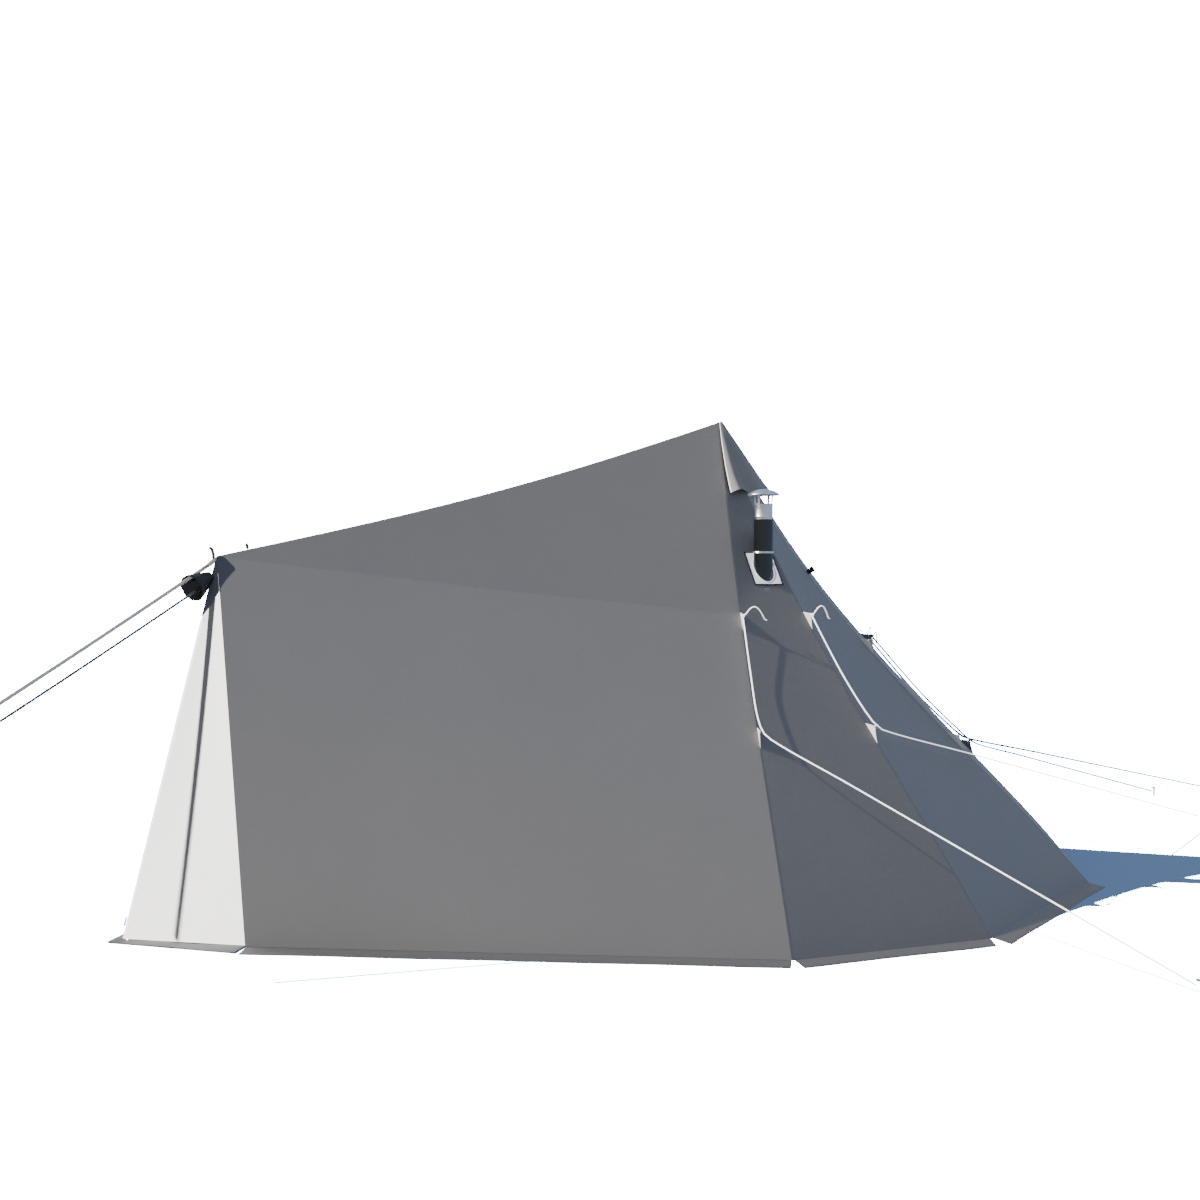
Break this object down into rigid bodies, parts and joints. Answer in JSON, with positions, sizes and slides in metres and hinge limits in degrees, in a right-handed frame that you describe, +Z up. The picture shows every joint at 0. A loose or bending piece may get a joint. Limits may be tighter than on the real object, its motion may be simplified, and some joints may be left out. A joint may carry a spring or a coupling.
{
  "type": "tipi tent",
  "caption": "Multi-sided tipi tent with a raised front peak and door halves, stove jack with pipe and rain cap, ground flaps, two inner poles and guy lines.",
  "frame": {"origin": "on the ground at the centre of the tall pole's foot, the foot's bottom face", "axes": "+Z up; -Y towards the front peak and the door halves, +Y towards the round end; +X is the side with the stove jack"},
  "size_m": [5.6226, 7.5559, 2.3994],
  "materials": {
    "canopy": "matt grey tent cloth",
    "door_cloth": "matt grey tent cloth",
    "flap_cloth": "matt coated cloth",
    "hood_cloth": "matt dark blue-grey reinforcing cloth",
    "pole_alloy": "satin",
    "black_plastic": "matt black",
    "pipe_steel": "brushed stainless",
    "pipe_black": "matt heat-resistant black",
    "jack_cloth": "silvery heat-resistant cloth",
    "jack_edging": "woven binding tape",
    "rope": "braided cord",
    "peg_steel": "galvanised"
  },
  "bodies": {
    "tent": {"roof_panel_right": "canopy", "wall_panel_right": "canopy", "front_facet_right": "canopy", "middle_facet_right": "canopy", "rear_facet_right": "canopy", "back_facet_right": "canopy", "roof_panel_left": "canopy", "wall_panel_left": "canopy", "front_facet_left": "canopy", "middle_facet_left": "canopy", "rear_facet_left": "canopy", "back_facet_left": "canopy", "centre_pole_foot": "black_plastic", "centre_pole_lower": "pole_alloy", "centre_pole_upper": "pole_alloy", "front_pole_lower": "pole_alloy", "front_pole_upper": "pole_alloy", "peak_pocket": "canopy", "apex_hood": "canopy", "front_peak_hood": "hood_cloth", "stove_jack": "jack_cloth", "stove_jack_edging": "jack_edging", "front_vent_cowl": "black_plastic", "rear_vent_cowl": "black_plastic", "guy_front_corner_right": "rope", "peg_front_corner_right": "peg_steel", "guy_front_corner_left": "rope", "peg_front_corner_left": "peg_steel", "guy_side_corner_right": "rope", "peg_side_corner_right": "peg_steel", "guy_side_corner_left": "rope", "peg_side_corner_left": "peg_steel", "guy_rear_corner_right": "rope", "peg_rear_corner_right": "peg_steel", "guy_rear_corner_left": "rope", "peg_rear_corner_left": "peg_steel", "guy_back_corner_right": "rope", "peg_back_corner_right": "peg_steel", "guy_back_corner_left": "rope", "peg_back_corner_left": "peg_steel", "front_guy_main": "rope", "front_guy_loop_main": "rope", "front_guy_light": "rope", "front_guy_loop_light": "rope"},
    "flap_front_right": {"ground_flap_front_right": "flap_cloth"},
    "flap_middle_right": {"ground_flap_middle_right": "flap_cloth"},
    "flap_wall_right": {"ground_flap_wall_right": "flap_cloth"},
    "door_right": {"door_half_right": "door_cloth"},
    "flap_front_left": {"ground_flap_front_left": "flap_cloth"},
    "flap_middle_left": {"ground_flap_middle_left": "flap_cloth"},
    "flap_wall_left": {"ground_flap_wall_left": "flap_cloth"},
    "door_left": {"door_half_left": "door_cloth"},
    "slider": {"zip_slider": "pipe_steel"},
    "stove_pipe": {"pipe_sleeve": "pipe_black", "pipe_clamp": "pipe_steel", "pipe_top_section": "pipe_steel"},
    "cap": {"rain_cap": "pipe_steel"}
  },
  "joints": [
    {"name": "flap_front_right_lift", "type": "hinge", "parent": "tent", "child": "flap_front_right", "pos_m": [1.8362, -0.51786, 0.0015], "axis": [-0.2714, -0.9625, 0], "range_deg": [0, 100]},
    {"name": "flap_middle_right_lift", "type": "hinge", "parent": "tent", "child": "flap_middle_right", "pos_m": [1.81435, 0.48615, 0.0015], "axis": [0.2588, -0.9659, 0], "range_deg": [0, 100]},
    {"name": "flap_wall_right_lift", "type": "hinge", "parent": "tent", "child": "flap_wall_right", "pos_m": [1.03717, -1.87995, 0.0015], "axis": [-0.593, -0.8052, 0], "range_deg": [0, 100]},
    {"name": "door_right_open", "type": "hinge", "parent": "tent", "child": "door_right", "pos_m": [0.362, -2.79, 0], "axis": [-0.2166, -0.0042, 0.9763], "range_deg": [0, 100]},
    {"name": "flap_front_left_lift", "type": "hinge", "parent": "tent", "child": "flap_front_left", "pos_m": [-1.8362, -0.51786, 0.0015], "axis": [-0.2714, 0.9625, 0], "range_deg": [0, 100]},
    {"name": "flap_middle_left_lift", "type": "hinge", "parent": "tent", "child": "flap_middle_left", "pos_m": [-1.81435, 0.48615, 0.0015], "axis": [0.2588, 0.9659, 0], "range_deg": [0, 100]},
    {"name": "flap_wall_left_lift", "type": "hinge", "parent": "tent", "child": "flap_wall_left", "pos_m": [-1.03717, -1.87995, 0.0015], "axis": [-0.593, 0.8052, 0], "range_deg": [0, 100]},
    {"name": "door_left_open", "type": "hinge", "parent": "tent", "child": "door_left", "pos_m": [-0.362, -2.79, 0], "axis": [-0.2166, 0.0042, -0.9763], "range_deg": [0, 100]},
    {"name": "zip_slide", "type": "slide", "parent": "door_right", "child": "slider", "axis": [0, 0.2425, 0.9701], "range_m": [0, 1.2]},
    {"name": "pipe_raise", "type": "slide", "parent": "tent", "child": "stove_pipe", "axis": [0, 0, 1], "range_m": [0, 0.2]},
    {"name": "rain_cap_lift", "type": "slide", "parent": "stove_pipe", "child": "cap", "axis": [0, 0, 1], "range_m": [0, 0.07]}
  ]
}
